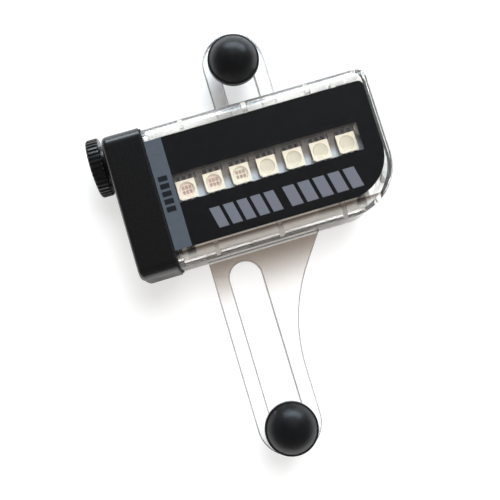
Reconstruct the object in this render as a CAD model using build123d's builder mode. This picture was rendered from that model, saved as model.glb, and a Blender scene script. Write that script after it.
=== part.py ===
from build123d import *
import os
from math import radians, sqrt, tan

# Frame: X runs along the body towards its free end, Y across it towards the upper lug and
# Z through its thickness. X = 0 is the axis of the slotted arm, Y = 0 the middle of the body
# and Z = 0 the rear face, on which the light lies. All lengths are in millimetres.

# Cells, and what is stacked over and under them
cell_d = 10.5
cell_len = 44.5
cell_nub_d = 3.8
cell_nub_len = 0.8
cell_between = 0.2
cell_count = 3
cell_gap = 0.35
board_t = 0.8
led_h = 1.4
led_gap = 0.4
wall = 1.4
label_t = 0.4

# Housing
cell_side_room = 1.25
link_room = 6.5
arm_from_cap = 15.4
shoulder_r = 3.8
near_corner_r = 3.9
far_corner_r = 13.3
end_edge_r = 0.7
lip_h = 1.2
lip_gap = 0.1
rib_t = 1.2
rib_gap = 0.15
rib_place_shares = (0.12, 0.5, 0.88)
neck_wall = 1.2
neck_gap = 0.15
neck_tip_gap = 0.5
overrun = 1.0

# Window and labels
window_end = 6.5
window_h = 7.4
window_rise = 0.6
stripe_w = 4.6
label_side = 4.2
label_end = 1.7
label_corner_r = 1.4
label_far_r = 11.4
label_gap = 0.1

# Arms for the spokes
arm_t = 3.0
arm_w = 16.8
arm_reach = 64.4
arm_edge_r = 0.5
flare_r = 44.0
flare_angle = 36.0
flare_start = 52.0
slot_w = 8.6
slot_travel = 39.7
slot_end_shift = 1.2
slot_spare = 0.7
lug_x = 13.3
lug_reach = 31.2

# End cap with its thumbscrew
cap_len = 10.4
cap_side = 0.6
cap_wall = 1.5
cap_edge_r = 3.2
cap_end_r = 1.3
gasket_t = 0.5
gasket_inset = 0.4
thumb_inset = 5.6
thumb_d = 15.6
thumb_rim = 3.4
thumb_dome = 0.6
thumb_edge_r = 0.7
thumb_ribs = 38
thumb_groove_r = 0.42
thumb_hub_d = 11.0
thumb_hub_h = 0.6
thumb_seal_d = 9.6
thumb_seal_t = 0.6
thumb_screw_d = 3.0
thumb_head_af = 5.5
thumb_head_h = 2.0
thumb_screw_depth = 9.0
ring_d = 5.2
ring_t = 0.6
ring_gap = 0.1
ring_groove = 0.4
insert_d = 4.2
insert_len = 5.0
insert_depth = 2.3
boss_wall = 0.5
run_gap = 0.05

# Spoke clamps
knob_d = 13.8
knob_collar_d = 12.2
knob_collar_h = 0.9
knob_rim_h = 1.7
knob_rim_r = 0.3
knob_ledge = 0.15
knob_dome_h = 4.0
washer_d = 12.8
washer_t = 0.8
bolt_d = 4.0
bolt_over_nut = 1.0
bolt_end_gap = 0.4
nut_af = 7.0
nut_h = 4.0
hook_d = 8.3
hook_lip = 2.0
hook_top_gap = 0.5
hook_edge = 0.3
groove_d = 2.1

# Light-emitting packages
led_size = 5.0
led_count = 7
led_start = 2.6
led_end = 3.5
led_cup_d = 4.0
led_cup_floor_d = 3.2
led_cup_depth = 0.7
led_key = 0.7

# Circuit boards and what sits on them
board_half_w = 8.2
board_start_gap = 0.4
board_end_gap = 1.6
board_corner_r = 1.0
post_d = 2.6
post_pin_d = 1.2
post_hole_d = 1.4
post_inset = 1.7
chip_len = 9.9
chip_w = 3.9
chip_h = 1.5
chip_x = 12.0
chip_y = -5.6
small_len = 2.0
small_w = 1.25
small_h = 0.6
small_count = 5
small_pitch = 4.2
small_x = -4.0
small_y = 6.2
photo_d = 4.0
photo_h = 1.6
photo_inset = 2.2
photo_y = 2.9
sensor_d = 5.0
sensor_len = 9.0
sensor_from_cradle = 2.8
sensor_y = 5.0
pin_size = 0.6
pin_pitch = 1.27
pin_count = 4
pin_from_cradle = 1.9
pin_y = -4.0
header_h = 2.5
header_w = 2.2

# Battery cradle and contacts
cradle_wall = 1.2
cradle_gap = 0.2
cell_clear = 0.1
cradle_window = 4.4
left_room = 2.2
right_room = 1.2
contact_t = 0.3
contact_w = 6.0
contact_h = 6.0
contact_boss_d = 3.6
cradle_rail_drop = 2.5

# Places worked out from the sizes above
body_thick = cell_d + 2 * (cell_gap + board_t + led_h + led_gap + wall + label_t)
mid_z = body_thick / 2
cell_pitch = cell_d + cell_between
body_w = (cell_count - 1) * cell_pitch + cell_d + 2 * (cell_side_room + wall)
half_w = body_w / 2
shell_half = mid_z - label_t
cap_edge_x = -arm_from_cap
cradle_x0 = cap_edge_x + wall + cradle_gap
cell_x0 = cradle_x0 + cradle_wall + left_room
cell_x1 = cell_x0 + cell_len
cradle_in_x1 = cell_x1 + right_room
cradle_x1 = cradle_in_x1 + cradle_wall
end_x = cradle_x1 + link_room + wall
housing_len = end_x - cap_edge_x
cap_x0 = cap_edge_x - cap_len
cap_half_w = half_w + cap_side
cap_in_x = cap_x0 + cap_wall
thumb_y = cap_half_w - thumb_inset
neck_tip_x = cap_in_x + neck_tip_gap
neck_half_w = cap_half_w - cap_wall - neck_gap
neck_half_t = mid_z - cap_wall - neck_gap
arm_z = mid_z - arm_t
window_x0 = cap_edge_x + stripe_w
window_x1 = end_x - window_end
window_len = window_x1 - window_x0
label_half_w = half_w - label_side
label_x1 = end_x - label_end
inner_top = body_thick - label_t - wall
inner_bottom = label_t + wall
front_board_z = inner_top - led_gap - led_h - board_t
rear_board_z = inner_bottom + led_gap + led_h
cell_r = cell_d / 2
cell_ys = [(k - (cell_count - 1) / 2) * cell_pitch for k in range(cell_count)]
rib_xs = [cell_x0 + share * cell_len for share in rib_place_shares]
led_first_x = window_x0 + led_start
led_pitch = (window_x1 - led_end - led_first_x) / (led_count - 1)
led_xs = [led_first_x + k * led_pitch for k in range(led_count)]
board_x0 = cap_edge_x + wall + board_start_gap
board_x1 = end_x - wall - board_end_gap
photo_x = board_x1 - photo_inset
sensor_x = cradle_x1 + sensor_from_cradle
pin_x = cradle_x1 + pin_from_cradle
post_places = [
    (x, y)
    for x in (board_x0 + post_inset, board_x1 - post_inset)
    for y in (-board_half_w + post_inset, board_half_w - post_inset)
]


def housing_form(inset, edge_r):
    """The closed outer form of the housing, drawn in by an inset, as one solid.

    The plan outline gets a small round all along its rim, and the profile across the
    body, with its wider shoulders, then cuts the two long sides to their own radius.
    """
    with BuildPart() as form:
        with BuildSketch(Plane.XY.offset(label_t + inset)) as plan:
            with Locations((cap_edge_x + housing_len / 2, 0)):
                Rectangle(housing_len - 2 * inset, 2 * (half_w - inset))
            corner = plan.vertices().group_by(Axis.X)[-1].sort_by(Axis.Y)
            fillet(corner[-1], near_corner_r - inset)
            corner = plan.vertices().group_by(Axis.X)[-1].sort_by(Axis.Y)
            fillet(corner[0], far_corner_r - inset)
        extrude(amount=2 * (shell_half - inset))
        if edge_r > 0:
            rims = form.edges().group_by(Axis.Z)
            rims = [e for e in rims[0] + rims[-1] if e.center().X > cap_edge_x + overrun]
            fillet(rims, edge_r)
        with BuildSketch(Plane.YZ.offset(cap_edge_x + inset)):
            with Locations((0, mid_z)):
                RectangleRounded(
                    2 * (half_w - inset), 2 * (shell_half - inset), shoulder_r - inset
                )
        extrude(amount=housing_len - 2 * inset, mode=Mode.INTERSECT)
    return form.part


def neck_form(inset):
    """The spigot that the end cap slides over, or with an inset the hole through it."""
    with BuildPart() as form:
        with BuildSketch(Plane.YZ.offset(neck_tip_x - inset)):
            with Locations((0, mid_z)):
                RectangleRounded(
                    2 * (neck_half_w - inset),
                    2 * (neck_half_t - inset),
                    cap_edge_r - cap_wall,
                )
        extrude(amount=cap_edge_x + wall - neck_tip_x + 2 * inset)
    return form.part


def between(form, low, high):
    """The slice of a solid that lies between two heights."""
    with BuildPart() as piece:
        add(form)
        split(bisect_by=Plane.XY.offset(low), keep=Keep.TOP)
        split(bisect_by=Plane.XY.offset(high), keep=Keep.BOTTOM)
    return piece.part


def window_block(low, high):
    """The raised island of the shell that fills the window in the label."""
    with BuildPart() as block:
        with BuildSketch(Plane.XY.offset(low)):
            with Locations(((window_x0 + window_x1) / 2, window_rise)):
                Rectangle(window_len - 2 * label_gap, window_h - 2 * label_gap)
        extrude(amount=high - low)
    return block.part


outer_form = housing_form(0, end_edge_r)
inner_form = housing_form(wall, 0)
rebate_form = housing_form(wall / 2, 0)
lip_form = housing_form(wall / 2 + lip_gap, 0)
neck_outer = neck_form(0)
neck_hole = neck_form(neck_wall)


# Moulded ribs and posts that hold the cells and boards, trimmed to the inside of the walls
def side_ribs(low, high):
    """The cross ribs beside the circuit board, between two heights."""
    inner_y = board_half_w + rib_gap
    with BuildPart() as ribs:
        with BuildSketch(Plane.XY.offset(low)):
            for side in (-1, 1):
                with Locations(*[(x, side * (inner_y + half_w) / 2) for x in rib_xs]):
                    Rectangle(rib_t, half_w - inner_y)
        extrude(amount=high - low)
        add(rebate_form, mode=Mode.INTERSECT)
    return ribs.part


def board_posts(face_z, wall_z, pin_z):
    """Posts from a shell's wall to its board, with the pins that pass through the board."""
    with BuildPart() as posts:
        with BuildSketch(Plane.XY.offset(face_z)):
            with Locations(*post_places):
                Circle(post_d / 2)
        extrude(amount=wall_z - face_z)
        with BuildSketch(Plane.XY.offset(pin_z)):
            with Locations(*post_places):
                Circle(post_pin_d / 2)
        extrude(amount=face_z - pin_z)
    return posts.part


# Front shell: clear moulding with the window, the upper half of the spigot and a lip
# that locates it in the rear shell
front_lip = between(lip_form, mid_z - lip_h, mid_z + lip_h)
front_ribs = side_ribs(mid_z + cell_r + rib_gap, body_thick)
front_posts = board_posts(front_board_z + board_t, inner_top + wall / 2, front_board_z)
with BuildPart() as front_shell:
    add(outer_form)
    add(neck_outer)
    add(window_block(mid_z, body_thick))
    split(bisect_by=Plane.XY.offset(mid_z), keep=Keep.TOP)
    add(front_lip)
    add(inner_form, mode=Mode.SUBTRACT)
    add(neck_hole, mode=Mode.SUBTRACT)
    add(front_ribs)
    add(front_posts)
front_shell.part.label = "front_shell"

# Arms of the rear shell: a slotted arm that flares into the body, and a short lug. Both
# are one flat plate whose front face is level with the joint between the shells
arm_r = arm_w / 2
half_turn = 180
slot_r = slot_w / 2
slot_far_y = -arm_reach - slot_end_shift
slot_near_y = slot_far_y + slot_travel + slot_spare
arm_root_y = -(half_w - wall / 2)
flare_tan = flare_r * tan(radians(flare_angle / 2))
flare_turn_y = -flare_start + flare_tan
flare_root_x = arm_r + (arm_root_y - flare_turn_y) * tan(radians(flare_angle))
with BuildPart() as arms:
    with BuildSketch(Plane.XY.offset(arm_z)) as arm_plan:
        with BuildLine():
            down = Line((-arm_r, arm_root_y), (-arm_r, -arm_reach))
            tip = JernArc(down @ 1, (0, -1), arm_r, half_turn)
            up = Line(tip @ 1, (arm_r, -flare_start))
            flare = JernArc(up @ 1, (0, 1), flare_r, -flare_angle)
            root = Line(flare @ 1, (flare_root_x, arm_root_y))
            Line(root @ 1, down @ 0)
        make_face()
        with BuildLine():
            rise = Line((lug_x + arm_r, -arm_root_y), (lug_x + arm_r, lug_reach))
            crown = JernArc(rise @ 1, (0, 1), arm_r, half_turn)
            fall = Line(crown @ 1, (lug_x - arm_r, -arm_root_y))
            Line(fall @ 1, rise @ 0)
        make_face()
    extrude(amount=arm_t)
    with BuildSketch(Plane.XY.offset(arm_z)):
        with Locations((0, slot_far_y), (0, slot_near_y)):
            Circle(slot_r)
        with Locations((0, (slot_near_y + slot_far_y) / 2)):
            Rectangle(slot_w, slot_near_y - slot_far_y)
        with Locations((lug_x, lug_reach)):
            Circle(slot_r)
        with Locations((lug_x, (half_w + lug_reach) / 2)):
            Rectangle(slot_w, lug_reach - half_w)
    extrude(amount=arm_t, mode=Mode.SUBTRACT)
    faces = arms.faces().filter_by(Axis.Z)
    rims = [e for e in faces.edges() if abs(e.center().Y) > half_w + arm_edge_r]
    fillet(rims, arm_edge_r)

# Rear shell: clear moulding with the arms, the lower half of the spigot and the boss
# for the thumbscrew's insert
insert_x0 = neck_tip_x + insert_depth
boss_r = insert_d / 2 + boss_wall
rear_rebate = between(rebate_form, mid_z - lip_h - lip_gap, mid_z + lip_h)
rear_ribs = side_ribs(label_t, rear_board_z + board_t)
rear_posts = board_posts(rear_board_z, inner_bottom - wall / 2, rear_board_z + board_t)
with BuildPart() as rear_shell:
    add(outer_form)
    add(neck_outer)
    add(window_block(0, mid_z))
    split(bisect_by=Plane.XY.offset(mid_z), keep=Keep.BOTTOM)
    add(arms.part)
    add(inner_form, mode=Mode.SUBTRACT)
    add(neck_hole, mode=Mode.SUBTRACT)
    add(rear_rebate, mode=Mode.SUBTRACT)
    add(rear_ribs)
    add(rear_posts)
    boss_foot_z = mid_z - neck_half_t + neck_wall / 2
    with BuildSketch(Plane.YZ.offset(insert_x0)):
        with Locations((thumb_y, mid_z)):
            Circle(boss_r)
        with Locations((thumb_y, (boss_foot_z + mid_z) / 2)):
            Rectangle(2 * boss_r, mid_z - boss_foot_z)
    extrude(amount=insert_len)
    with BuildSketch(Plane.YZ.offset(insert_x0)):
        with Locations((thumb_y, mid_z)):
            Circle(insert_d / 2)
    extrude(amount=insert_len, mode=Mode.SUBTRACT)
rear_shell.part.label = "rear_shell"

# Threaded insert, pressed into the boss
with BuildPart() as threaded_insert:
    with BuildSketch(Plane.YZ.offset(insert_x0)):
        with Locations((thumb_y, mid_z)):
            Circle(insert_d / 2)
            Circle(thumb_screw_d / 2 + run_gap, mode=Mode.SUBTRACT)
    extrude(amount=insert_len)
threaded_insert.part.label = "threaded_insert"

# Labels: thick printed film on the front and rear faces, cut out round the window
with BuildPart() as front_label:
    with BuildSketch(Plane.XY.offset(body_thick - label_t)) as film:
        label_x0 = cap_edge_x + label_gap
        with Locations(((label_x0 + label_x1) / 2, 0)):
            Rectangle(label_x1 - label_x0, 2 * label_half_w)
        corner = film.vertices().group_by(Axis.X)[-1].sort_by(Axis.Y)
        fillet(corner[-1], label_corner_r)
        corner = film.vertices().group_by(Axis.X)[-1].sort_by(Axis.Y)
        fillet(corner[0], label_far_r)
        with Locations(((window_x0 + window_x1) / 2, window_rise)):
            Rectangle(window_len, window_h, mode=Mode.SUBTRACT)
    extrude(amount=label_t)
front_label.part.label = "front_label"

with BuildPart() as rear_label:
    mirror(front_label.part, about=Plane.XY.offset(mid_z))
rear_label.part.label = "rear_label"

# End cap: a black cup over the spigot, with the thumbscrew's hole in its end wall
with BuildPart() as end_cap:
    with BuildSketch(Plane.YZ.offset(cap_x0)):
        with Locations((0, mid_z)):
            RectangleRounded(2 * cap_half_w, body_thick, cap_edge_r)
    extrude(amount=cap_len - gasket_t)
    fillet(end_cap.faces().sort_by(Axis.X)[0].edges(), cap_end_r)
    with BuildSketch(Plane.YZ.offset(cap_in_x)):
        with Locations((0, mid_z)):
            RectangleRounded(
                2 * (cap_half_w - cap_wall), body_thick - 2 * cap_wall, cap_edge_r - cap_wall
            )
    extrude(amount=cap_len, mode=Mode.SUBTRACT)
    with BuildSketch(Plane.YZ.offset(cap_x0)):
        with Locations((thumb_y, mid_z)):
            Circle(thumb_screw_d / 2 + run_gap)
    extrude(amount=cap_wall, mode=Mode.SUBTRACT)
end_cap.part.label = "end_cap"

# Gasket between the cap's rim and the housing
with BuildPart() as cap_gasket:
    with BuildSketch(Plane.YZ.offset(cap_edge_x - gasket_t)):
        with Locations((0, mid_z)):
            RectangleRounded(
                2 * (cap_half_w - gasket_inset),
                body_thick - 2 * gasket_inset,
                cap_edge_r - gasket_inset,
            )
            RectangleRounded(
                2 * (neck_half_w + neck_gap),
                2 * (neck_half_t + neck_gap),
                cap_edge_r - cap_wall,
                mode=Mode.SUBTRACT,
            )
    extrude(amount=gasket_t)
cap_gasket.part.label = "cap_gasket"

# Thumbscrew: a ribbed, slightly domed knob moulded on a hexagon-headed screw
seat_x = cap_x0 - thumb_seal_t
knob_r = thumb_d / 2
knob_plane = Plane(origin=(seat_x, thumb_y, mid_z), x_dir=(0, 1, 0), z_dir=(-1, 0, 0))
section_plane = Plane(origin=(seat_x, thumb_y, mid_z), x_dir=(0, 1, 0), z_dir=(0, 0, 1))
thumb_axis = Axis((seat_x, thumb_y, mid_z), (-1, 0, 0))
rim_end = thumb_hub_h + thumb_rim
with BuildPart() as thumb_knob:
    with BuildSketch(section_plane):
        with BuildLine():
            Line((0, 0), (thumb_hub_d / 2, 0))
            Line((thumb_hub_d / 2, 0), (thumb_hub_d / 2, thumb_hub_h))
            Line((thumb_hub_d / 2, thumb_hub_h), (knob_r - thumb_edge_r, thumb_hub_h))
            RadiusArc(
                (knob_r - thumb_edge_r, thumb_hub_h),
                (knob_r, thumb_hub_h + thumb_edge_r),
                -thumb_edge_r,
            )
            Line((knob_r, thumb_hub_h + thumb_edge_r), (knob_r, rim_end - thumb_edge_r))
            RadiusArc(
                (knob_r, rim_end - thumb_edge_r), (knob_r - thumb_edge_r, rim_end), -thumb_edge_r
            )
            dome_chord = knob_r - thumb_edge_r
            dome_r = (dome_chord**2 + thumb_dome**2) / (2 * thumb_dome)
            RadiusArc((dome_chord, rim_end), (0, rim_end + thumb_dome), -dome_r)
            Line((0, rim_end + thumb_dome), (0, 0))
        make_face()
    revolve(axis=thumb_axis)
    with BuildSketch(knob_plane.offset(thumb_hub_h)):
        with PolarLocations(knob_r, thumb_ribs):
            Circle(thumb_groove_r)
    extrude(amount=thumb_rim + thumb_dome, mode=Mode.SUBTRACT)
    with BuildSketch(knob_plane):
        Circle(thumb_screw_d / 2)
    extrude(amount=thumb_hub_h, mode=Mode.SUBTRACT)
    with BuildSketch(knob_plane.offset(thumb_hub_h)):
        RegularPolygon(thumb_head_af / 2, 6, major_radius=False)
    extrude(amount=thumb_head_h, mode=Mode.SUBTRACT)
thumb_knob.part.label = "thumb_knob"

tip_depth = thumb_seal_t + thumb_screw_depth
with BuildPart() as thumb_screw:
    with BuildSketch(knob_plane.offset(thumb_hub_h)):
        RegularPolygon(thumb_head_af / 2, 6, major_radius=False)
    extrude(amount=thumb_head_h)
    with BuildSketch(knob_plane.offset(-tip_depth)):
        Circle(thumb_screw_d / 2)
    extrude(amount=tip_depth + thumb_hub_h)
    ring_depth = thumb_seal_t + cap_wall + ring_gap + ring_t
    with BuildSketch(knob_plane.offset(-ring_depth)):
        Circle(thumb_screw_d / 2)
        Circle(thumb_screw_d / 2 - ring_groove, mode=Mode.SUBTRACT)
    extrude(amount=ring_t, mode=Mode.SUBTRACT)
thumb_screw.part.label = "thumb_screw"

# Retaining ring that keeps the thumbscrew in the cap
with BuildPart() as retaining_ring:
    with BuildSketch(knob_plane.offset(-ring_depth)):
        Circle(ring_d / 2)
        Circle(thumb_screw_d / 2 - ring_groove, mode=Mode.SUBTRACT)
        with Locations((-ring_d / 2, 0)):
            Rectangle(ring_d, thumb_screw_d - 2 * ring_groove, mode=Mode.SUBTRACT)
    extrude(amount=ring_t)
retaining_ring.part.label = "retaining_ring"

# Sealing washer between the knob's hub and the cap
with BuildPart() as thumb_seal:
    with BuildSketch(knob_plane.offset(-thumb_seal_t)):
        Circle(thumb_seal_d / 2)
        Circle(thumb_screw_d / 2 + run_gap, mode=Mode.SUBTRACT)
    extrude(amount=thumb_seal_t)
thumb_seal.part.label = "thumb_seal"

# Circuit boards, held between the shells' posts and the cradle
with BuildPart() as front_board:
    with BuildSketch(Plane.XY.offset(front_board_z)):
        with Locations(((board_x0 + board_x1) / 2, 0)):
            RectangleRounded(board_x1 - board_x0, 2 * board_half_w, board_corner_r)
        with Locations(*post_places):
            Circle(post_hole_d / 2, mode=Mode.SUBTRACT)
    extrude(amount=board_t)
front_board.part.label = "front_board"

with BuildPart() as rear_board:
    mirror(front_board.part, about=Plane.XY.offset(mid_z))
rear_board.part.label = "rear_board"

# Light-emitting packages, seven on each board, each with a round cup and one cut corner
led_z = front_board_z + board_t
with BuildSketch() as led_outline:
    Rectangle(led_size, led_size)
    chamfer(led_outline.vertices().sort_by(Axis.X)[:2].sort_by(Axis.Y)[0], led_key)

with BuildPart() as front_leds:
    with BuildSketch(Plane.XY.offset(led_z)):
        with Locations(*[(x, 0) for x in led_xs]):
            add(led_outline.sketch)
    extrude(amount=led_h)
    with Locations(*[(x, 0, led_z + led_h) for x in led_xs]):
        Cone(
            bottom_radius=led_cup_floor_d / 2,
            top_radius=led_cup_d / 2,
            height=led_cup_depth,
            align=(Align.CENTER, Align.CENTER, Align.MAX),
            mode=Mode.SUBTRACT,
        )
front_leds.part.label = "front_leds"

with BuildPart() as rear_leds:
    mirror(front_leds.part, about=Plane.XY.offset(mid_z))
rear_leds.part.label = "rear_leds"

# Controller chip and small parts, on the front board under the label
with BuildPart() as controller_chip:
    with BuildSketch(Plane.XY.offset(led_z)):
        with Locations((chip_x, chip_y)):
            Rectangle(chip_len, chip_w)
    extrude(amount=chip_h)
controller_chip.part.label = "controller_chip"

with BuildPart() as small_parts:
    with BuildSketch(Plane.XY.offset(led_z)):
        with Locations(*[(small_x + k * small_pitch, small_y) for k in range(small_count)]):
            Rectangle(small_len, small_w)
    extrude(amount=small_h)
small_parts.part.label = "small_parts"

# Light sensor on the front board, and the motion sensor behind its free end
with BuildPart() as light_sensor:
    with BuildSketch(Plane.XY.offset(led_z)):
        with Locations((photo_x, photo_y)):
            Circle(photo_d / 2)
    extrude(amount=photo_h)
light_sensor.part.label = "light_sensor"

with BuildPart() as motion_sensor:
    with BuildSketch(Plane.XZ.offset(-sensor_y - sensor_len / 2)):
        with Locations((sensor_x, front_board_z - sensor_d / 2)):
            Circle(sensor_d / 2)
    extrude(amount=sensor_len)
motion_sensor.part.label = "motion_sensor"

# Header and pins that join the two boards past the end of the cells
pin_places = [(pin_x, pin_y + (k - (pin_count - 1) / 2) * pin_pitch) for k in range(pin_count)]
with BuildPart() as link_header:
    with BuildSketch(Plane.XY.offset(front_board_z - header_h)):
        with Locations((pin_x, pin_y)):
            Rectangle(header_w, pin_count * pin_pitch)
        with Locations(*pin_places):
            Rectangle(pin_size, pin_size, mode=Mode.SUBTRACT)
    extrude(amount=header_h)
link_header.part.label = "link_header"

with BuildPart() as link_pins:
    with BuildSketch(Plane.XY.offset(rear_board_z + board_t)):
        with Locations(*pin_places):
            Rectangle(pin_size, pin_size)
    extrude(amount=front_board_z - rear_board_z - board_t)
link_pins.part.label = "link_pins"

# Battery cradle: end walls that reach from board to board, and rails between the cells
cradle_form = housing_form(wall + cradle_gap, 0)
cradle_z0 = rear_board_z + board_t
rail_top_z = mid_z - cradle_rail_drop
with BuildPart() as battery_cradle:
    with BuildSketch(Plane.XY.offset(cradle_z0)):
        with Locations(((cradle_x0 + cradle_x1) / 2, 0)):
            Rectangle(cradle_x1 - cradle_x0, body_w)
    extrude(amount=rail_top_z - cradle_z0)
    with BuildSketch(Plane.XY.offset(cradle_z0)):
        with Locations(*[(x + cradle_wall / 2, 0) for x in (cradle_x0, cradle_in_x1)]):
            Rectangle(cradle_wall, body_w)
    extrude(amount=front_board_z - cradle_z0)
    add(cradle_form, mode=Mode.INTERSECT)
    with BuildSketch(Plane.YZ.offset(cradle_x0 + cradle_wall)):
        with Locations(*[(y, mid_z) for y in cell_ys]):
            Circle(cell_r + cell_clear)
    extrude(amount=cradle_in_x1 - cradle_x0 - cradle_wall, mode=Mode.SUBTRACT)
    with BuildSketch(Plane.XY.offset(cradle_z0)):
        with Locations(*[((cell_x0 + cell_x1) / 2, y) for y in cell_ys]):
            Rectangle(cell_len, cradle_window)
    extrude(amount=rail_top_z - cradle_z0, mode=Mode.SUBTRACT)
battery_cradle.part.label = "battery_cradle"

# Three cells, the middle one turned the other way round
with BuildPart() as battery_cells:
    for k, y in enumerate(cell_ys):
        turned = k % 2
        can_x0 = cell_x0 + turned * cell_nub_len
        with BuildSketch(Plane.YZ.offset(can_x0)):
            with Locations((y, mid_z)):
                Circle(cell_r)
        extrude(amount=cell_len - cell_nub_len)
        with BuildSketch(Plane.YZ.offset(cell_x0 if turned else cell_x1 - cell_nub_len)):
            with Locations((y, mid_z)):
                Circle(cell_nub_d / 2)
        extrude(amount=cell_nub_len)
battery_cells.part.label = "battery_cells"

# Bow springs at one end of the cells, and dimpled plates at the other
with BuildPart() as spring_contacts:
    wall_x = cell_x0 - left_room
    for y in cell_ys:
        with BuildSketch(Plane.XZ.offset(-y - contact_w / 2)):
            with BuildLine():
                low = mid_z - contact_h / 2
                high = mid_z + contact_h / 2
                ThreePointArc((wall_x, low), (cell_x0, mid_z), (wall_x, high))
                Line((wall_x, high), (wall_x, high - contact_t))
                ThreePointArc(
                    (wall_x, high - contact_t),
                    (cell_x0 - contact_t, mid_z),
                    (wall_x, low + contact_t),
                )
                Line((wall_x, low + contact_t), (wall_x, low))
            make_face()
        extrude(amount=contact_w)
spring_contacts.part.label = "spring_contacts"

with BuildPart() as plate_contacts:
    for y in cell_ys:
        with BuildSketch(Plane.YZ.offset(cradle_in_x1 - contact_t)):
            with Locations((y, mid_z)):
                Rectangle(contact_w, contact_h)
        extrude(amount=contact_t)
        with BuildSketch(Plane.YZ.offset(cell_x1)):
            with Locations((y, mid_z)):
                Circle(contact_boss_d / 2)
        extrude(amount=right_room - contact_t)
plate_contacts.part.label = "plate_contacts"

pieces = [
    front_shell,
    rear_shell,
    threaded_insert,
    front_label,
    rear_label,
    end_cap,
    cap_gasket,
    thumb_knob,
    thumb_screw,
    retaining_ring,
    thumb_seal,
    front_board,
    rear_board,
    front_leds,
    rear_leds,
    controller_chip,
    small_parts,
    light_sensor,
    motion_sensor,
    link_header,
    link_pins,
    battery_cradle,
    battery_cells,
    spring_contacts,
    plate_contacts,
]

# Spoke clamps: on each arm a hooked bolt that catches the spoke, a washer, and a domed
# knob with a nut in it that draws the hook up
washer_z = mid_z
knob_z = washer_z + washer_t
bolt_top_z = knob_z + nut_h + bolt_over_nut
hook_z = arm_z - groove_d - hook_lip
hook_top_z = mid_z - hook_top_gap
for side, clamp_x, clamp_y, outward in (
    ("lower", 0, slot_far_y, -1),
    ("upper", lug_x, lug_reach, 1),
):
    with BuildPart() as clamp_washer:
        with BuildSketch(Plane.XY.offset(washer_z)):
            with Locations((clamp_x, clamp_y)):
                Circle(washer_d / 2)
                Circle(bolt_d / 2 + run_gap, mode=Mode.SUBTRACT)
        extrude(amount=washer_t)
    clamp_washer.part.label = side + "_washer"

    with BuildPart() as clamp_nut:
        with BuildSketch(Plane.XY.offset(knob_z)):
            with Locations((clamp_x, clamp_y)):
                RegularPolygon(nut_af / 2, 6, major_radius=False)
                Circle(bolt_d / 2 + run_gap, mode=Mode.SUBTRACT)
        extrude(amount=nut_h)
    clamp_nut.part.label = side + "_nut"

    rim_r = knob_d / 2
    rim_top = knob_collar_h + knob_rim_h
    dome_foot = rim_r - knob_rim_r - knob_ledge
    dome_r = (dome_foot**2 + knob_dome_h**2) / (2 * knob_dome_h)
    knob_section = Plane(origin=(clamp_x, clamp_y, knob_z), x_dir=(1, 0, 0), z_dir=(0, -1, 0))
    with BuildPart() as clamp_knob:
        with BuildSketch(knob_section):
            with BuildLine():
                Line((0, 0), (knob_collar_d / 2, 0))
                Line((knob_collar_d / 2, 0), (knob_collar_d / 2, knob_collar_h))
                Line((knob_collar_d / 2, knob_collar_h), (rim_r, knob_collar_h))
                Line((rim_r, knob_collar_h), (rim_r, rim_top - knob_rim_r))
                RadiusArc(
                    (rim_r, rim_top - knob_rim_r), (rim_r - knob_rim_r, rim_top), -knob_rim_r
                )
                Line((rim_r - knob_rim_r, rim_top), (dome_foot, rim_top))
                RadiusArc((dome_foot, rim_top), (0, rim_top + knob_dome_h), -dome_r)
                Line((0, rim_top + knob_dome_h), (0, 0))
            make_face()
        revolve(axis=Axis((clamp_x, clamp_y, knob_z), (0, 0, 1)))
        with BuildSketch(Plane.XY.offset(knob_z)):
            with Locations((clamp_x, clamp_y)):
                RegularPolygon(nut_af / 2, 6, major_radius=False)
        extrude(amount=nut_h, mode=Mode.SUBTRACT)
        with BuildSketch(Plane.XY.offset(knob_z + nut_h)):
            with Locations((clamp_x, clamp_y)):
                Circle(bolt_d / 2 + run_gap)
        extrude(amount=bolt_over_nut + bolt_end_gap, mode=Mode.SUBTRACT)
    clamp_knob.part.label = side + "_knob"

    groove_plane = Plane.YZ.offset(clamp_x - hook_d / 2)
    groove_z = arm_z - groove_d / 2
    with BuildPart() as hook_bolt:
        with BuildSketch(Plane.XY.offset(hook_z)):
            with Locations((clamp_x, clamp_y)):
                Circle(hook_d / 2)
        extrude(amount=hook_top_z - hook_z)
        chamfer(hook_bolt.edges(), hook_edge)
        with BuildSketch(Plane.XY.offset(hook_top_z)):
            with Locations((clamp_x, clamp_y)):
                Circle(bolt_d / 2)
        extrude(amount=bolt_top_z - hook_top_z)
        with BuildSketch(groove_plane):
            with Locations((clamp_y, groove_z)):
                Circle(groove_d / 2)
            with Locations((clamp_y + outward * hook_d / 2, groove_z)):
                Rectangle(hook_d, groove_d)
        extrude(amount=hook_d, mode=Mode.SUBTRACT)
    hook_bolt.part.label = side + "_hook_bolt"
    pieces += [clamp_washer, clamp_nut, clamp_knob, hook_bolt]

os.makedirs("parts", exist_ok=True)
for piece in pieces:
    export_step(piece.part, "parts/" + piece.part.label + ".step")
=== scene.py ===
import bpy
import numpy as np
from mathutils import Matrix, Vector


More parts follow.
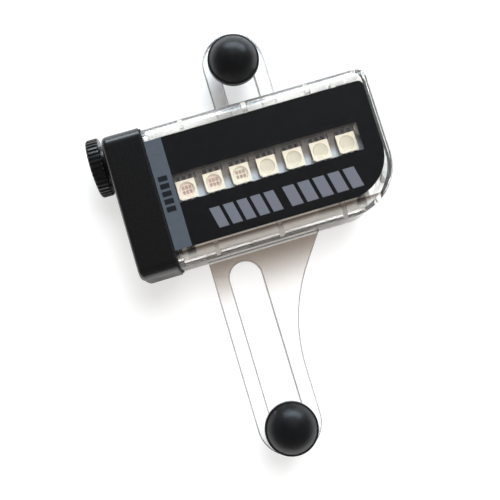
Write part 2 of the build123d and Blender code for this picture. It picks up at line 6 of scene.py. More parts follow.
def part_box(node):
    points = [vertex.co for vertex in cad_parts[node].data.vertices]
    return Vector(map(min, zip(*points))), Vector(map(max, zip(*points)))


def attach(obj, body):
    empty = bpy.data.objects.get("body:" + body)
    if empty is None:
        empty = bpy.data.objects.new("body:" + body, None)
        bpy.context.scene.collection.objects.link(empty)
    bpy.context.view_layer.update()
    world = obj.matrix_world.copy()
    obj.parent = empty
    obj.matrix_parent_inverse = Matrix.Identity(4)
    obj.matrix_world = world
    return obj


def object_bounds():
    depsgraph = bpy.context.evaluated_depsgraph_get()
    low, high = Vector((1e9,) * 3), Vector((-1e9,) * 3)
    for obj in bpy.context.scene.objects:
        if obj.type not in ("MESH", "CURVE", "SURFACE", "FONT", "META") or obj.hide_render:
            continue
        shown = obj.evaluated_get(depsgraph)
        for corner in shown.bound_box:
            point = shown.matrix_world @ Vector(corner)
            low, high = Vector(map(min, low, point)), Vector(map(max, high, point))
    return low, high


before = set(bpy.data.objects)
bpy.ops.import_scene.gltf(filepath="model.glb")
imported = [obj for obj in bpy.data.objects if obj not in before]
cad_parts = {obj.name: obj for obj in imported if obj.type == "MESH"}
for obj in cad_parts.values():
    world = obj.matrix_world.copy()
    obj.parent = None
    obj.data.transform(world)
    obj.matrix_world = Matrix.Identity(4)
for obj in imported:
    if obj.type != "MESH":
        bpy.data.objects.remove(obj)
cad_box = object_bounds()

# Camera: it looks down on the front face from about 200 mm, a few degrees off square, and
# is turned so that the body rises to the right. Place and turn come from a fit of the
# label, window, slot and row of lights to their edges in the photograph.
camera = bpy.data.cameras.new("camera")
camera.sensor_width = 36.0
camera.lens = 53.0
camera.clip_start = 0.005
viewer = bpy.data.objects.new("camera", camera)
bpy.context.collection.objects.link(viewer)
viewer.matrix_world = (
    Matrix.Translation(Vector((-0.00584, -0.03572, 0.20299)))
    @ Matrix.Rotation(-0.04607, 4, "Y")
    @ Matrix.Rotation(0.08818, 4, "X")
    @ Matrix.Rotation(-0.29262, 4, "Z")
)
bpy.context.scene.camera = viewer
bpy.context.scene.view_settings.view_transform = "Standard"


# Table top: a white sheet under the light. To the eye it is lifted to white, and it keeps the
# shadows that fall on it. Seen through clear plastic it is lifted only a little. Far from
# the light it fades to plain white, so that no horizon shows.
def sums(tree, operation, *values):
    """One arithmetic node. Each value is a socket or a number. Returns its result's socket."""
    node = tree.nodes.new("ShaderNodeMath")
    node.operation = operation
    for socket, value in zip(node.inputs, values):
        if isinstance(value, (int, float)):
            socket.default_value = value
        else:
            tree.links.new(value, socket)
    return node.outputs["Value"]


def product(tree, first, *others):
    """The socket of several sockets or numbers multiplied together."""
    for value in others:
        first = sums(tree, "MULTIPLY", first, value)
    return first


def ramp(tree, value, start, end, low=0.0, high=1.0, shape="SMOOTHSTEP"):
    """A socket that goes from low to high as a value goes from start to end, level beyond."""
    node = tree.nodes.new("ShaderNodeMapRange")
    node.interpolation_type = shape
    limits = {"From Min": start, "From Max": end, "To Min": low, "To Max": high}
    for socket, limit in limits.items():
        node.inputs[socket].default_value = limit
    tree.links.new(value, node.inputs["Value"])
    return node.outputs["Result"]


def blended(tree, share, first, second):
    """The socket of a colour between two colours or colour sockets, by a share."""
    mix = tree.nodes.new("ShaderNodeMix")
    mix.data_type = "RGBA"
    for socket, value in ((mix.inputs[6], first), (mix.inputs[7], second)):
        if isinstance(value, tuple):
            socket.default_value = value
        else:
            tree.links.new(value, socket)
    tree.links.new(share, mix.inputs[0])
    return mix.outputs[2]


table_half = 1.6
table_gap = 0.0001
paper_grey = (0.92, 0.92, 0.92, 1)
paper_seen = (0.50, 0.50, 0.50, 1)
lift_seen = 0.56
lift_through = 0.14
fade_start, fade_end = 0.12, 0.40
table_z = float(cad_box[0][2]) - table_gap
corners = [(-1, -1), (1, -1), (1, 1), (-1, 1)]
table_mesh = bpy.data.meshes.new("table")
table_mesh.from_pydata(
    [(x * table_half, y * table_half, table_z) for x, y in corners], [], [(0, 1, 2, 3)]
)
table = bpy.data.objects.new("table", table_mesh)
bpy.context.collection.objects.link(table)
white_sheet = bpy.data.materials.new("white_sheet")
white_sheet.use_nodes = True
tree = white_sheet.node_tree
tree.nodes.remove(tree.nodes["Principled BSDF"])
ray = tree.nodes.new("ShaderNodeLightPath")
to_eye = ray.outputs["Is Camera Ray"]
paper = tree.nodes.new("ShaderNodeBsdfDiffuse")
tree.links.new(blended(tree, to_eye, paper_grey, paper_seen), paper.inputs["Color"])
lift = tree.nodes.new("ShaderNodeEmission")
behind = sums(tree, "MULTIPLY", ray.outputs["Is Transmission Ray"], lift_through)
tree.links.new(sums(tree, "MULTIPLY_ADD", to_eye, lift_seen, behind), lift.inputs["Strength"])
both = tree.nodes.new("ShaderNodeAddShader")
tree.links.new(paper.outputs["BSDF"], both.inputs[0])
tree.links.new(lift.outputs["Emission"], both.inputs[1])
place = tree.nodes.new("ShaderNodeTexCoord")
reach = tree.nodes.new("ShaderNodeVectorMath")
reach.operation = "LENGTH"
tree.links.new(place.outputs["Object"], reach.inputs[0])
far = ramp(tree, reach.outputs["Value"], fade_start, fade_end)
blank = tree.nodes.new("ShaderNodeEmission")
ends = tree.nodes.new("ShaderNodeMixShader")
tree.links.new(product(tree, far, to_eye), ends.inputs["Fac"])
tree.links.new(both.outputs["Shader"], ends.inputs[1])
tree.links.new(blank.outputs["Emission"], ends.inputs[2])
tree.links.new(ends.outputs["Shader"], tree.nodes["Material Output"].inputs["Surface"])
table_mesh.materials.append(white_sheet)

# Studio: a room that is pale near the horizon and dim overhead, a wide soft ceiling lamp
# that gives the short shadows, a low window over the top right corner of the picture that
# shines in the knobs and the edges, and a warm fill lamp low on the near side.
# Light reaches what lies under clear plastic straight through it, so light that is bent on
# its way to a dull surface isn't counted a second time.
sky_low, sky_high = 0.28, 0.12
sky_top = 0.9
mirrored_share = 0.5
warm_air = (1, 0.95, 0.90, 1)
room = bpy.data.worlds.new("room")
room.use_nodes = True
bpy.context.scene.world = room
tree = room.node_tree
ray = tree.nodes.new("ShaderNodeLightPath")
bent = ray.outputs["Is Transmission Ray"]
unscattered = sums(tree, "LESS_THAN", ray.outputs["Diffuse Depth"], 0.5)
seen = sums(tree, "MAXIMUM", ray.outputs["Is Camera Ray"], product(tree, bent, unscattered))
gaze = tree.nodes.new("ShaderNodeTexCoord")
slope = tree.nodes.new("ShaderNodeSeparateXYZ")
tree.links.new(gaze.outputs["Generated"], slope.inputs["Vector"])
sky = ramp(tree, slope.outputs["Z"], 0.0, sky_top, sky_low, sky_high, "LINEAR")
mirror = ray.outputs["Is Glossy Ray"]
mirrored = sums(tree, "MULTIPLY_ADD", mirror, mirrored_share - 1.0, 1.0)
plain = product(tree, sky, mirrored, sums(tree, "SUBTRACT", 1.0, bent))
backdrop = tree.nodes["Background"]
tree.links.new(sums(tree, "MAXIMUM", plain, seen), backdrop.inputs["Strength"])
tree.links.new(blended(tree, seen, warm_air, (1, 1, 1, 1)), backdrop.inputs["Color"])


def soft_lamp(name, place, width, height, power, colour, shines):
    """A rectangular soft lamp that stands at place and faces the origin. The last value says
    whether glossy surfaces mirror it."""
    lamp = bpy.data.lights.new(name, "AREA")
    lamp.shape = "RECTANGLE"
    lamp.size = width
    lamp.size_y = height
    lamp.energy = power
    lamp.color = colour
    holder = bpy.data.objects.new(name, lamp)
    bpy.context.collection.objects.link(holder)
    holder.location = place
    holder.rotation_euler = (-Vector(place)).to_track_quat("-Z", "Y").to_euler()
    holder.visible_transmission = False
    holder.visible_glossy = shines


soft_lamp("ceiling_lamp", (0.33, 0.47, 1.0), 0.66, 0.66, 13.4, (0.98, 0.99, 1), False)
soft_lamp("window_lamp", (0.36, 0.83, 0.46), 1.30, 0.42, 10.6, (0.78, 0.91, 1), True)
soft_lamp("fill_lamp", (-0.15, -0.75, 0.45), 0.80, 0.40, 3.8, (1, 0.95, 0.90), False)


# Battery cells: three slim steel cans, each in a printed shrink sleeve that leaves the
# bright end faces and the raised contact bare. The middle one lies the other way round.
def linear(*levels):
    """Colour levels from 0 to 255, as the eye sees them, made into light: the level's share
    of 255 is divided by 12.92 if small, and else raised to the power 2.4 after an offset."""
    share = np.array(levels) / 255
    light = np.where(share <= 0.04045, share / 12.92, ((share + 0.055) / 1.055) ** 2.4)
    return tuple(light.tolist()) + (1.0,)


def finish(name, colour, roughness, **sockets):
    """A material whose main shader holds these constants. Returns it, its tree, its shader."""
    material = bpy.data.materials.new(name)
    material.use_nodes = True
    shader = material.node_tree.nodes["Principled BSDF"]
    shader.inputs["Base Color"].default_value = colour
    shader.inputs["Roughness"].default_value = roughness
    for socket, value in sockets.items():
        shader.inputs[socket.replace("_", " ")].default_value = value
    return material, material.node_tree, shader


def place_axes(tree):
    """The three sockets of a point's place on the object: along X, along Y and along Z."""
    place = tree.nodes.new("ShaderNodeTexCoord")
    axes = tree.nodes.new("ShaderNodeSeparateXYZ")
    tree.links.new(place.outputs["Object"], axes.inputs["Vector"])
    return [axes.outputs[name] for name in ("X", "Y", "Z")]


def inside(tree, value, low, high):
    """A socket that is 1 where a value lies between low and high, and else 0."""
    above = sums(tree, "GREATER_THAN", value, low)
    below = sums(tree, "LESS_THAN", value, high)
    return product(tree, above, below)


def repeated(tree, value, pitch, first=0.0):
    """How far a value is past the nearest of a row of places, a pitch apart from first on."""
    return sums(tree, "WRAP", sums(tree, "SUBTRACT", value, first), pitch / 2, -pitch / 2)


def distance(tree, across, upward):
    """The square root of the sum of two values' squares."""
    squares = (product(tree, value, value) for value in (across, upward))
    return sums(tree, "SQRT", sums(tree, "ADD", *squares))


def grain(tree, shader, size, depth, low, high):
    """Moulded grain: noise whose lumps are size metres across lifts the surface by up to
    depth metres, and takes its roughness from low in the hollows to high on the lumps."""
    place = tree.nodes.new("ShaderNodeTexCoord")
    noise = tree.nodes.new("ShaderNodeTexNoise")
    noise.inputs["Scale"].default_value = 1 / size
    noise.inputs["Detail"].default_value = 3.0
    tree.links.new(place.outputs["Object"], noise.inputs["Vector"])
    rough = ramp(tree, noise.outputs["Fac"], 0.3, 0.7, low, high, "LINEAR")
    tree.links.new(rough, shader.inputs["Roughness"])
    bump = tree.nodes.new("ShaderNodeBump")
    bump.inputs["Distance"].default_value = depth
    tree.links.new(noise.outputs["Fac"], bump.inputs["Height"])
    tree.links.new(bump.outputs["Normal"], shader.inputs["Normal"])
    return noise.outputs["Fac"]


def dress(material, *nodes):
    """Gives CAD nodes a material in place of what they came with."""
    for node in nodes:
        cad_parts[node].data.materials.clear()
        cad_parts[node].data.materials.append(material)


middle_z = 0.010
cell_pitch = 0.0107
bare_radius = 0.0050
band_width = 0.0105
line_width = 0.0007
cells_low, cells_high = (corner.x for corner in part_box("battery_cells"))
sleeve, tree, shader = finish("cell_sleeve", linear(226, 220, 213), 0.35)
x, y, z = place_axes(tree)
grain(tree, shader, 0.0006, 0.00001, 0.28, 0.42)
radius = distance(
    tree, repeated(tree, y, cell_pitch), sums(tree, "SUBTRACT", z, middle_z)
)
bare = sums(tree, "LESS_THAN", radius, bare_radius)
turned = inside(tree, y, -cell_pitch / 2, cell_pitch / 2)
end_x = sums(tree, "MULTIPLY_ADD", turned, cells_low - cells_high, cells_high)
from_end = sums(tree, "ABSOLUTE", sums(tree, "SUBTRACT", x, end_x))
band = inside(tree, from_end, 0.0, band_width)
line = inside(tree, from_end, band_width, band_width + line_width)
colour = blended(tree, band, linear(226, 220, 213), linear(186, 180, 172))
colour = blended(tree, line, colour, linear(196, 196, 190))
colour = blended(tree, bare, colour, linear(188, 186, 180))
tree.links.new(colour, shader.inputs["Base Color"])
tree.links.new(bare, shader.inputs["Metallic"])
dress(sleeve, "battery_cells")

# Battery cradle: a white moulded frame between the two circuit boards, with end walls and
# low rails that keep the cells apart.
cradle_white, tree, shader = finish("cradle_white", linear(222, 221, 214), 0.5)
grain(tree, shader, 0.0005, 0.00002, 0.42, 0.6)
dress(cradle_white, "battery_cradle")

# Contacts: bow springs at one end of the cells and dimpled plates at the other, stamped
# from nickel-plated strip with faint drawing lines.
nickel, tree, shader = finish("nickel_plate", linear(196, 190, 178), 0.25, Metallic=1.0)
grain(tree, shader, 0.0004, 0.00001, 0.18, 0.36)
dress(nickel, "spring_contacts", "plate_contacts")

# Circuit boards: glass-fibre sheet with white lacquer on both faces, cut to show its yellowish
# core along the edges. The half towards the lug is darker with painted shade from the label's
# edge. Fine tracks run beside the row of lights, and a small dark tick is printed between its
# packages.
led_pitch = 0.0071
led_first_x = -0.0082
tick_start, tick_end = 0.00275, 0.00315
tick_low_y, tick_high_y = 0.0026, 0.0040
ticks_low_x, ticks_high_x = -0.012, 0.0385
track_pitch = 0.0017
track_half = 0.00022
tracks_near, tracks_far = 0.0048, 0.0078
board_shade_start_y, board_shade_end_y = -0.0016, 0.0012
core_depth = 0.00003
board_low, board_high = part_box("front_board")
lacquer, tree, shader = finish("board_lacquer", linear(214, 217, 220), 0.3)
x, y, _ = place_axes(tree)
noise = grain(tree, shader, 0.0011, 0.00001, 0.22, 0.36)
from_axis = sums(tree, "ABSOLUTE", y)
tick = product(
    tree,
    inside(tree, repeated(tree, x, led_pitch, led_first_x), tick_start, tick_end),
    inside(tree, y, tick_low_y, tick_high_y),
    inside(tree, x, ticks_low_x, ticks_high_x),
)
track = product(
    tree,
    inside(tree, repeated(tree, y, track_pitch), -track_half, track_half),
    inside(tree, from_axis, tracks_near, tracks_far),
)
on_end = sums(
    tree,
    "MAXIMUM",
    sums(tree, "LESS_THAN", x, board_low.x + core_depth),
    sums(tree, "GREATER_THAN", x, board_high.x - core_depth),
)
on_side = sums(tree, "GREATER_THAN", from_axis, board_high.y - core_depth)
colour = blended(tree, noise, linear(190, 202, 212), linear(204, 214, 222))
# Painted shade: the board turns darker across its middle towards the lug, where the label's
# edge shades it.
painted_board_shade = ramp(tree, y, board_shade_start_y, board_shade_end_y)
colour = blended(tree, painted_board_shade, colour, linear(122, 114, 107))
colour = blended(tree, track, colour, linear(176, 178, 176))
colour = blended(tree, tick, colour, linear(52, 40, 36))
core = sums(tree, "MAXIMUM", on_side, on_end)
colour = blended(tree, core, colour, linear(176, 164, 112))
tree.links.new(colour, shader.inputs["Base Color"])
dress(lacquer, "front_board", "rear_board")


# Light packages: white moulded housings with a round cup. In each cup lie six bright pads,
# three small light-giving dies and their wires, under clear gel that fills it to the rim.
def surface(name, body, material, grids):
    """A mesh piece from several grids of points, each an array of rows by columns by three.
    Neighbouring rows and columns are joined by four-sided faces, rows upwards, columns
    anticlockwise seen from outside, so that the faces point outwards."""
    points, faces, start = [], [], 0
    for grid in grids:
        rows, columns = grid.shape[:2]
        number = np.arange(rows * columns).reshape(rows, columns) + start
        quads = np.stack(
            [number[:-1, :-1], number[:-1, 1:], number[1:, 1:], number[1:, :-1]], axis=-1
        )
        points.append(grid.reshape(-1, 3))
        faces.append(quads.reshape(-1, 4))
        start += rows * columns
    mesh = bpy.data.meshes.new(name)
    mesh.from_pydata(np.concatenate(points).tolist(), [], np.concatenate(faces).tolist())
    mesh.materials.append(material)
    piece = bpy.data.objects.new(name, mesh)
    bpy.context.collection.objects.link(piece)
    merge = piece.modifiers.new("merge", "WELD")
    merge.merge_threshold = 0.000001
    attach(piece, body)
    return piece


def turned_shape(profile, segments, centre):
    """A profile of radius and height pairs carried once round an upright axis at centre: a
    point is the radius times the cosine and sine of the turn, and the height above it."""
    profile = np.asarray(profile, float)
    turn = np.linspace(0, 2 * np.pi, segments + 1)
    grid = np.empty((len(profile), segments + 1, 3))
    grid[..., 0] = profile[:, :1] * np.cos(turn) + centre[0]
    grid[..., 1] = profile[:, :1] * np.sin(turn) + centre[1]
    grid[..., 2] = profile[:, 1:] + centre[2]
    return grid


def block(low, high, rounding):
    """A soft-edged block between two corners. Its outline is a rounded rectangle: a circle
    of radius rounding is moved out to the four corners. It is drawn in at bottom and top,
    and closed there by an outline drawn in to the middle."""
    low, high = np.asarray(low, float), np.asarray(high, float)
    turn = np.linspace(0, 2 * np.pi, 17)
    side = np.stack([np.cos(turn), np.sin(turn)], axis=-1)
    centre, reach = (low + high)[:2] / 2, (high - low)[:2] / 2
    shift = np.where(np.abs(side) < 1e-6, 0, np.sign(side)) * (reach - rounding)
    outline = side * rounding + shift
    inner = 1 - rounding / reach.min()
    shares = np.array([0.0, inner, 1.0, 1.0, inner, 0.0])
    bottom, top = low[2], high[2]
    heights = np.array([bottom, bottom, bottom + rounding, top - rounding, top, top])
    grid = np.empty((len(shares), len(turn), 3))
    grid[..., :2] = shares[:, None, None] * outline + centre
    grid[..., 2] = heights[:, None]
    return grid


def bent_strip(path, across, width, thickness):
    """A strip bent along a path of points: at each point four corners lie half a width to
    each side along across, and half a thickness to each side square to the path. The ends
    are closed by their own middle."""
    path, across = np.asarray(path, float), np.asarray(across, float)
    ahead = np.gradient(path, axis=0)
    ahead /= np.linalg.norm(ahead, axis=1, keepdims=True)
    lift = np.cross(ahead, across)
    ring = np.array([(-1, -1), (1, -1), (1, 1), (-1, 1), (-1, -1)]) / 2
    grid = (
        path[:, None]
        + ring[None, :, :1] * width * across
        + ring[None, :, 1:] * thickness * lift[:, None]
    )
    first = np.repeat(path[:1, None], len(ring), axis=1)
    last = np.repeat(path[-1:, None], len(ring), axis=1)
    return np.concatenate([first, grid, last])


def flipped(grids, middle):
    """The same grids on the rear side: heights are mirrored about the middle plane, and the
    columns run the other way so that the faces still point outwards."""
    mirrored = []
    for grid in grids:
        copy = grid[:, ::-1].copy()
        copy[..., 2] = 2 * middle - copy[..., 2]
        mirrored.append(copy)
    return mirrored


def nearest(tree, x, count):
    """A socket that is 1 over that many packages nearest the cap, and 0 over the others."""
    return sums(tree, "LESS_THAN", x, led_first_x + (count - 0.5) * led_pitch)


led_count = 7
led_half = 0.0025
cup_radius = 0.0020
side_shade_depth = 0.00006
led_low, led_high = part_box("front_leds")
led_xs = led_first_x + led_pitch * np.arange(led_count)
led_white, tree, shader = finish(
    "package_white", linear(240, 230, 208), 0.42, Subsurface_Weight=0.15
)
shader.inputs["Subsurface Radius"].default_value = (0.0008, 0.0006, 0.0004)
x, y, _ = place_axes(tree)
noise = grain(tree, shader, 0.0009, 0.00001, 0.34, 0.5)
along = repeated(tree, x, led_pitch, led_first_x)
warm = blended(tree, noise, linear(244, 235, 213), linear(251, 244, 227))
# The cup floors are a little lighter than the housing, painted light against the shade in the
# deep cup, and rosier in the two packages nearest the cap.
cup_tint_and_painted_light = blended(tree, nearest(tree, x, 2), linear(252, 246, 226), linear(248, 230, 216))
cup = sums(tree, "LESS_THAN", distance(tree, along, y), cup_radius)
colour = blended(tree, cup, warm, cup_tint_and_painted_light)
# Painted shade: a thin dark brown band along each package's edge towards the cap, the side
# away from the light.
painted_side_shade = sums(tree, "LESS_THAN", along, side_shade_depth - led_half)
colour = blended(tree, painted_side_shade, colour, linear(96, 74, 62))
tree.links.new(colour, shader.inputs["Base Color"])
dress(led_white, "front_leds", "rear_leds")

# In the three packages nearest the cap, pads and dies show rosier, through thinner gel.
gel_cover, gel_cover_near = 0.32, 0.12
pad_metal, tree, shader = finish("pad_silver", linear(214, 196, 176), 0.3, Metallic=0.2)
grain(tree, shader, 0.0002, 0.00001, 0.22, 0.4)
x, _, _ = place_axes(tree)
colour = blended(tree, nearest(tree, x, 3), linear(238, 230, 208), linear(186, 146, 132))
tree.links.new(colour, shader.inputs["Base Color"])
die_glow, tree, shader = finish("light_die", linear(150, 112, 98), 0.25)
grain(tree, shader, 0.0001, 0.000004, 0.18, 0.34)
x, _, _ = place_axes(tree)
colour = blended(tree, nearest(tree, x, 3), linear(206, 188, 156), linear(150, 112, 98))
tree.links.new(colour, shader.inputs["Base Color"])
gel_clear, tree, shader = finish(
    "clear_gel", linear(252, 247, 230), 0.35, Specular_IOR_Level=0.3
)
grain(tree, shader, 0.0006, 0.00001, 0.3, 0.45)
x, _, _ = place_axes(tree)
cover = sums(
    tree, "MULTIPLY_ADD", nearest(tree, x, 3), gel_cover_near - gel_cover, gel_cover
)
tree.links.new(cover, shader.inputs["Alpha"])

cup_depth = 0.0007
cup_floor_z = led_high.z - cup_depth
pad_pitch = 0.00088
pad_off_y = 0.00062
pad_half = np.array([0.00036, 0.00046])
pad_top_z = cup_floor_z + 0.00003
pad_rounding = 0.00001
die_off_y = -0.00050
die_half = 0.00017
die_top_z = cup_floor_z + 0.00018
die_rounding = 0.00002
wire_steps = 9
wire_span = 0.00100
wire_rise = 0.00022
wire_drop = 0.00013
wire_width = 0.00006
gel_segments = 32
gel_profile = [
    (0, -0.00066),
    (0.00158, -0.00066),
    (0.00195, -0.00003),
    (0.00185, -0.00004),
    (0.0012, -0.00007),
    (0.0006, -0.00009),
    (0, -0.0001),
]
pads, dies, wires, gels = [], [], [], []
for led_x in led_xs:
    for row in (-1, 0, 1):
        row_x = led_x + row * pad_pitch
        for side in (-1, 1):
            pad = np.array([row_x, side * pad_off_y])
            low, high = (*(pad - pad_half), cup_floor_z), (*(pad + pad_half), pad_top_z)
            pads.append(block(low, high, pad_rounding))
        die = np.array([row_x, die_off_y])
        low, high = (*(die - die_half), pad_top_z), (*(die + die_half), die_top_z)
        dies.append(block(low, high, die_rounding))
        share = np.linspace(0, 1, wire_steps)
        arch = np.stack(
            [
                np.full(wire_steps, row_x),
                die_off_y + share * wire_span,
                die_top_z + wire_rise * np.sin(np.pi * share) - wire_drop * share,
            ],
            axis=-1,
        )
        wires.append(bent_strip(arch, (1, 0, 0), wire_width, wire_width))
    gels.append(turned_shape(gel_profile, gel_segments, (led_x, 0, led_high.z)))
for side_name, turn in (("front", False), ("rear", True)):
    for part_name, grids, material in (
        ("cup_pads", pads, pad_metal),
        ("dies", dies, die_glow),
        ("bond_wires", wires, pad_metal),
        ("cup_gel", gels, gel_clear),
    ):
        piece = surface(
            side_name + "_" + part_name,
            "housing",
            material,
            flipped(grids, middle_z) if turn else grids,
        )
        piece.data.shade_smooth()

# Package leads: three tinned legs on each long side of a package come out half way up,
# bend down and lie on the board in a little solder. They are coloured a matt dark brown.
lead_tin, tree, shader = finish(
    "lead_tin", linear(40, 28, 24), 0.6, Specular_IOR_Level=0.15
)
noise = grain(tree, shader, 0.0003, 0.00002, 0.5, 0.7)
dulled = blended(tree, noise, linear(34, 22, 18), linear(52, 38, 32))
tree.links.new(dulled, shader.inputs["Base Color"])
lead_pitch = 0.0016
lead_width = 0.00095
lead_thickness = 0.00018
lead_path = np.array(
    [
        (0, 0.00245, 0.00085),
        (0, 0.00282, 0.00085),
        (0, 0.00300, 0.00074),
        (0, 0.00308, 0.00050),
        (0, 0.00314, 0.00022),
        (0, 0.00330, 0.00010),
        (0, 0.00375, 0.00010),
    ]
)
legs = []
for led_x in led_xs:
    for side in (-1, 1):
        for row in (-1, 0, 1):
            path = lead_path * (1, side, 1) + (led_x + row * lead_pitch, 0, led_low.z)
            legs.append(bent_strip(path, (1, 0, 0), lead_width, lead_thickness))
for side_name, grids in (("front", legs), ("rear", flipped(legs, middle_z))):
    piece = surface(side_name + "_led_leads", "housing", lead_tin, grids)

# Controller chip and small parts: black epoxy and brown ceramic blocks soldered on the
# front board beside the lights. The ceramic ones have tinned ends.
epoxy, tree, shader = finish("chip_epoxy", linear(30, 30, 32), 0.55)
grain(tree, shader, 0.0002, 0.00002, 0.45, 0.65)
dress(epoxy, "controller_chip", "link_header")
small_first_x = -0.004
small_pitch = 0.0042
bare_half = 0.0006
ceramic, tree, shader = finish("ceramic_brown", linear(122, 92, 66), 0.5)
x, _, _ = place_axes(tree)
grain(tree, shader, 0.0002, 0.00001, 0.4, 0.6)
from_middle = sums(tree, "ABSOLUTE", repeated(tree, x, small_pitch, small_first_x))
tinned = sums(tree, "GREATER_THAN", from_middle, bare_half)
colour = blended(tree, tinned, linear(122, 92, 66), linear(196, 196, 192))
tree.links.new(colour, shader.inputs["Base Color"])
tree.links.new(tinned, shader.inputs["Metallic"])
dress(ceramic, "small_parts")

# Light sensor: a resin disc over a winding track. The motion sensor is a plated can with a
# spring inside, and gold-flashed pins join the two boards.
wave_turns = 9000.0
wave_depth = 0.0004
track_turns = 7000.0
track_share = -0.2
resin, tree, shader = finish("sensor_resin", linear(186, 180, 168), 0.2, Coat_Weight=0.4)
x, y, _ = place_axes(tree)
wave = sums(tree, "SINE", product(tree, y, wave_turns))
winding = sums(tree, "MULTIPLY_ADD", wave, wave_depth, x)
stripes = sums(tree, "SINE", product(tree, winding, track_turns))
track = sums(tree, "LESS_THAN", stripes, track_share)
colour = blended(tree, track, linear(186, 180, 168), linear(150, 140, 126))
tree.links.new(colour, shader.inputs["Base Color"])
grain(tree, shader, 0.0005, 0.00001, 0.14, 0.28)
dress(resin, "light_sensor")
dress(nickel, "motion_sensor")
gold, tree, shader = finish("gold_flash", linear(206, 172, 104), 0.25, Metallic=1.0)
grain(tree, shader, 0.0003, 0.00001, 0.2, 0.34)
dress(gold, "link_pins")


# Housing: two shells moulded in clear polycarbonate, polished outside and in. The rear one
# carries the slotted arm and the lug. Handling has left faint hairlines on it.
def let_lamps_through(tree, shader, tint):
    """Lets lamps light what is behind clear plastic: for rays that go to a lamp the shader is
    swapped for a plain see-through one of that tint."""
    ray = tree.nodes.new("ShaderNodeLightPath")
    plain = tree.nodes.new("ShaderNodeBsdfTransparent")
    plain.inputs["Color"].default_value = tint
    either = tree.nodes.new("ShaderNodeMixShader")
    tree.links.new(ray.outputs["Is Shadow Ray"], either.inputs["Fac"])
    tree.links.new(shader.outputs["BSDF"], either.inputs[1])
    tree.links.new(plain.outputs["BSDF"], either.inputs[2])
    tree.links.new(either.outputs["Shader"], tree.nodes["Material Output"].inputs["Surface"])


clear_tint = (1, 0.995, 0.99, 1)
hair_turn = 0.6
hair_scale = (120, 2600, 600)
arm_start_y = 0.0193
wall_turn, edge_turn = (0.97, 0.30), (0.999, 0.80)
root_shade_out_y, root_shade_full_y = 0.0320, 0.0185
lug_root_shade = 0.3
label_shade_out_y, label_shade_full_y, label_shade_end_y = -0.0165, -0.0150, -0.0148
shoulder_rise, shoulder_fall = (0.10, 0.50), (0.98, 0.75)
body_clear = 0.992
arm_loss, edge_loss, frost_loss, hair_loss = 0.04, 0.34, 0.10, 0.02
clear_shell, tree, shader = finish(
    "clear_shell", (0.985, 0.99, 0.99, 1), 0.02, Transmission_Weight=1.0, IOR=1.5
)
x, y, z = place_axes(tree)
place = tree.nodes.new("ShaderNodeTexCoord")
stretch = tree.nodes.new("ShaderNodeMapping")
stretch.inputs["Rotation"].default_value = (0, 0, hair_turn)
stretch.inputs["Scale"].default_value = hair_scale
tree.links.new(place.outputs["Object"], stretch.inputs["Vector"])
hairs = tree.nodes.new("ShaderNodeTexNoise")
hairs.inputs["Scale"].default_value = 1.0
hairs.inputs["Detail"].default_value = 2.0
tree.links.new(stretch.outputs["Vector"], hairs.inputs["Vector"])
rough = ramp(tree, hairs.outputs["Fac"], 0.55, 0.8, 0.015, 0.09, "LINEAR")
tree.links.new(rough, shader.inputs["Roughness"])
facing = tree.nodes.new("ShaderNodeSeparateXYZ")
tree.links.new(place.outputs["Normal"], facing.inputs["Vector"])
level = sums(tree, "ABSOLUTE", facing.outputs["Z"])
sideways = sums(tree, "ABSOLUTE", facing.outputs["Y"])
from_axis = sums(tree, "ABSOLUTE", y)
on_arm = sums(tree, "GREATER_THAN", from_axis, arm_start_y)

# Tints stand for what the plastic mirrors in a real room, as painted reflection and shade:
# the walls and the arm's edges are painted darker, the arm's and the lug's roots carry a warm
# painted shade, lighter on the lug, and a painted dark line runs under the label.
wall = ramp(tree, level, *wall_turn)
edge = product(tree, ramp(tree, level, *edge_turn), on_arm)
root = ramp(tree, from_axis, root_shade_out_y, root_shade_full_y)
lower_side = sums(tree, "LESS_THAN", y, 0.0)
lug_share = sums(tree, "MULTIPLY_ADD", lower_side, 1.0 - lug_root_shade, lug_root_shade)
painted_root_shade = product(tree, root, on_arm, lug_share)
painted_label_shade = product(
    tree,
    ramp(tree, y, label_shade_out_y, label_shade_full_y),
    sums(tree, "GREATER_THAN", z, middle_z),
    inside(tree, y, label_shade_out_y, label_shade_end_y),
)
tone = blended(tree, wall, clear_tint, linear(226, 223, 220))
tone = blended(tree, edge, tone, linear(92, 92, 94))
tone = blended(tree, painted_root_shade, tone, linear(184, 172, 162))
tone = blended(tree, painted_label_shade, tone, linear(150, 141, 134))
tree.links.new(tone, shader.inputs["Base Color"])

# The body's rounded shoulders are a little milky, and so are the arm and its edges.
frost = product(
    tree,
    ramp(tree, sideways, *shoulder_rise),
    ramp(tree, sideways, *shoulder_fall),
    sums(tree, "SUBTRACT", 1.0, on_arm),
)
hair = sums(tree, "SUBTRACT", hairs.outputs["Fac"], 0.5)
clearness = body_clear
for share, loss in (
    (on_arm, arm_loss),
    (edge, edge_loss),
    (frost, frost_loss),
    (hair, hair_loss),
):
    clearness = sums(tree, "MULTIPLY_ADD", share, -loss, clearness)
tree.links.new(clearness, shader.inputs["Transmission Weight"])
let_lamps_through(tree, shader, clear_tint)
dress(clear_shell, "front_shell", "rear_shell")

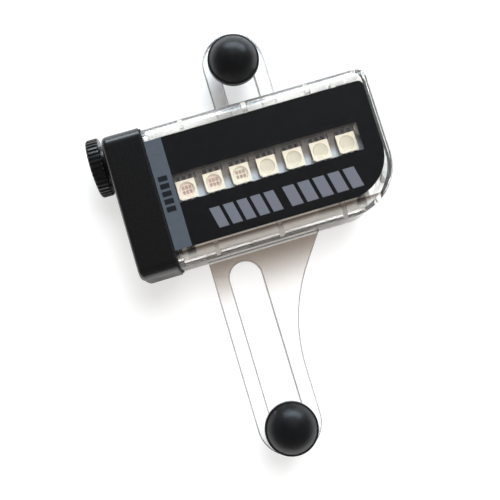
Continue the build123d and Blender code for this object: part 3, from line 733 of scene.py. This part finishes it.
# Labels: thick film printed satin black on both faces, cut out round the window. A grey
# stripe crosses the end by the cap, with five dark blocks, and slanted grey bars in two
# groups run under the window.
stripe_end_x = -0.0109
mark_low_x, mark_high_x = -0.0145, -0.0121
mark_pitch = 0.0020
mark_half = 0.00068
marks_low_y, marks_high_y = -0.0052, 0.0048
slant = 0.22
bars_in_group = 5
bars_low_y, bars_high_y = -0.0120, -0.0066
film, tree, shader = finish("label_film", linear(26, 26, 27), 0.4, Specular_IOR_Level=0.25)
x, y, _ = place_axes(tree)
noise = grain(tree, shader, 0.0012, 0.00001, 0.34, 0.46)
ground = blended(tree, noise, linear(15, 15, 16), linear(21, 21, 22))
stripe = sums(tree, "LESS_THAN", x, stripe_end_x)
stripe_grey = blended(tree, noise, linear(67, 73, 82), linear(77, 83, 91))
mark = product(
    tree,
    inside(tree, x, mark_low_x, mark_high_x),
    inside(tree, repeated(tree, y, mark_pitch), -mark_half, mark_half),
    inside(tree, y, marks_low_y, marks_high_y),
)
slanted = sums(tree, "MULTIPLY_ADD", y, slant, x)
groups = []
for first_x, pitch, width in ((-0.0057, 0.00355, 0.0026), (0.0134, 0.0040, 0.0030)):
    past_bar = sums(tree, "WRAP", sums(tree, "SUBTRACT", slanted, first_x), pitch, 0.0)
    group = inside(tree, slanted, first_x, first_x + bars_in_group * pitch)
    groups.append(product(tree, group, sums(tree, "LESS_THAN", past_bar, width)))
bar = product(
    tree, sums(tree, "MAXIMUM", *groups), inside(tree, y, bars_low_y, bars_high_y)
)
colour = blended(tree, stripe, ground, stripe_grey)
colour = blended(tree, mark, colour, linear(24, 26, 30))
colour = blended(tree, bar, colour, linear(98, 101, 110))
tree.links.new(colour, shader.inputs["Base Color"])
dress(film, "front_label", "rear_label")

# End cap and thumb knob: black ABS, moulded with a fine satin grain. The cap slides over
# the open end of the housing and the ribbed knob draws it up.
black_satin, tree, shader = finish(
    "black_satin", linear(15, 15, 16), 0.3, Specular_IOR_Level=0.85
)
noise = grain(tree, shader, 0.00035, 0.0000015, 0.26, 0.34)
colour = blended(tree, noise, linear(12, 12, 13), linear(17, 17, 18))
tree.links.new(colour, shader.inputs["Base Color"])
dress(black_satin, "end_cap", "thumb_knob")

# Gasket and seal: soft black rubber rings, cut flat, dull.
rubber, tree, shader = finish("black_rubber", linear(30, 30, 30), 0.75)
grain(tree, shader, 0.0003, 0.00002, 0.65, 0.85)
dress(rubber, "cap_gasket", "thumb_seal")

# Thumbscrew and ring: zinc-plated steel, with a rolled thread at half a millimetre a turn.
# Its brass insert is pressed into the rear shell.
thread_pitch = 0.0005
thread_depth = 0.00012
thread_start = 0.0030
steel, tree, shader = finish("plated_steel", linear(178, 178, 176), 0.3, Metallic=1.0)
grain(tree, shader, 0.0004, 0.00001, 0.24, 0.4)
dress(steel, "retaining_ring")
threaded, tree, shader = finish("threaded_steel", linear(174, 174, 172), 0.32, Metallic=1.0)
x, y, z = place_axes(tree)
screw_low, screw_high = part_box("thumb_screw")
upward = sums(tree, "SUBTRACT", z, middle_z)
across = sums(tree, "SUBTRACT", y, (screw_low.y + screw_high.y) / 2)
turn = sums(tree, "ARCTAN2", upward, across)
phase = sums(tree, "MULTIPLY_ADD", x, 2 * np.pi / thread_pitch, turn)
shank = sums(tree, "GREATER_THAN", x, screw_low.x + thread_start)
bump = tree.nodes.new("ShaderNodeBump")
bump.inputs["Distance"].default_value = thread_depth
tree.links.new(product(tree, sums(tree, "SINE", phase), shank), bump.inputs["Height"])
tree.links.new(bump.outputs["Normal"], shader.inputs["Normal"])
dress(threaded, "thumb_screw")
brass, tree, shader = finish("insert_brass", linear(196, 160, 92), 0.3, Metallic=1.0)
grain(tree, shader, 0.0003, 0.00001, 0.24, 0.4)
dress(brass, "threaded_insert")

# Spoke clamps: a plated hook bolt from behind, a steel washer, a nut, and a domed knob
# moulded over the nut in smooth black plastic.
knob_black, tree, shader = finish(
    "knob_black", linear(17, 18, 20), 0.36, Specular_IOR_Level=0.42
)
noise = grain(tree, shader, 0.0014, 0.000006, 0.3, 0.42)
colour = blended(tree, noise, linear(14, 14, 16), linear(20, 21, 23))
tree.links.new(colour, shader.inputs["Base Color"])
for side in ("lower", "upper"):
    dress(knob_black, side + "_knob")
    dress(steel, side + "_washer", side + "_nut", side + "_hook_bolt")
